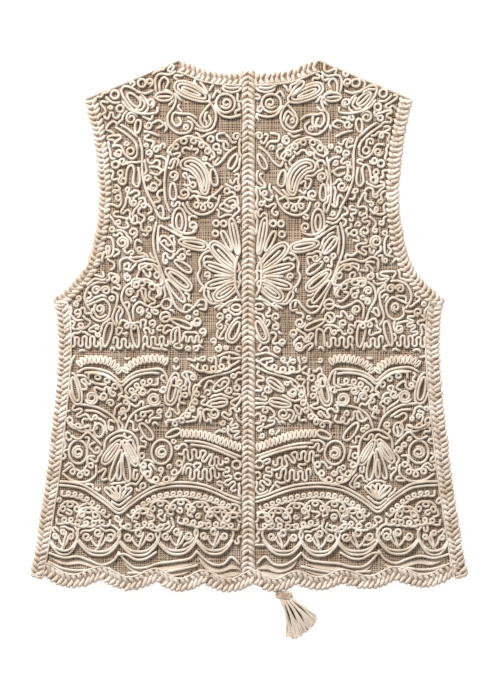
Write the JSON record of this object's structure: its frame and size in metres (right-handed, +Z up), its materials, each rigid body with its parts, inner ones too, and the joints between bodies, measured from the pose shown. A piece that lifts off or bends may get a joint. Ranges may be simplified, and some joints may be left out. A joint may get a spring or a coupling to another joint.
{
  "type": "sleeveless crochet top",
  "caption": "Sleeveless top of cotton net with raised corded scrollwork, crochet braid edging, scalloped hem and a tassel, laid flat back uppermost.",
  "frame": {"origin": "on the surface the top lies on, midway between the neck points and the tassel's end, on the centre line", "axes": "+Y from hem to neck along the centre back, +Z up from the surface, +X to the right as seen from above"},
  "size_m": [0.508, 0.6718, 0.0081],
  "materials": {
    "corded_net": "matt undyed cotton net covered with round cord",
    "crochet_braid": "matt undyed cotton, crocheted in a thick plait",
    "tassel_thread": "matt undyed cotton thread"
  },
  "bodies": {
    "root": {"back_panel_left": "corded_net", "back_panel_right": "corded_net", "front_panel": "corded_net", "centre_braid": "crochet_braid", "side_braid_left": "crochet_braid", "side_braid_right": "crochet_braid", "armhole_braid_left_back": "crochet_braid", "armhole_braid_left_front": "crochet_braid", "armhole_braid_right_back": "crochet_braid", "armhole_braid_right_front": "crochet_braid", "neck_braid_back_left": "crochet_braid", "neck_braid_back_right": "crochet_braid", "neck_braid_front": "crochet_braid", "hem_braid_back": "crochet_braid", "hem_braid_front": "crochet_braid", "tassel": "tassel_thread"}
  },
  "joints": []
}
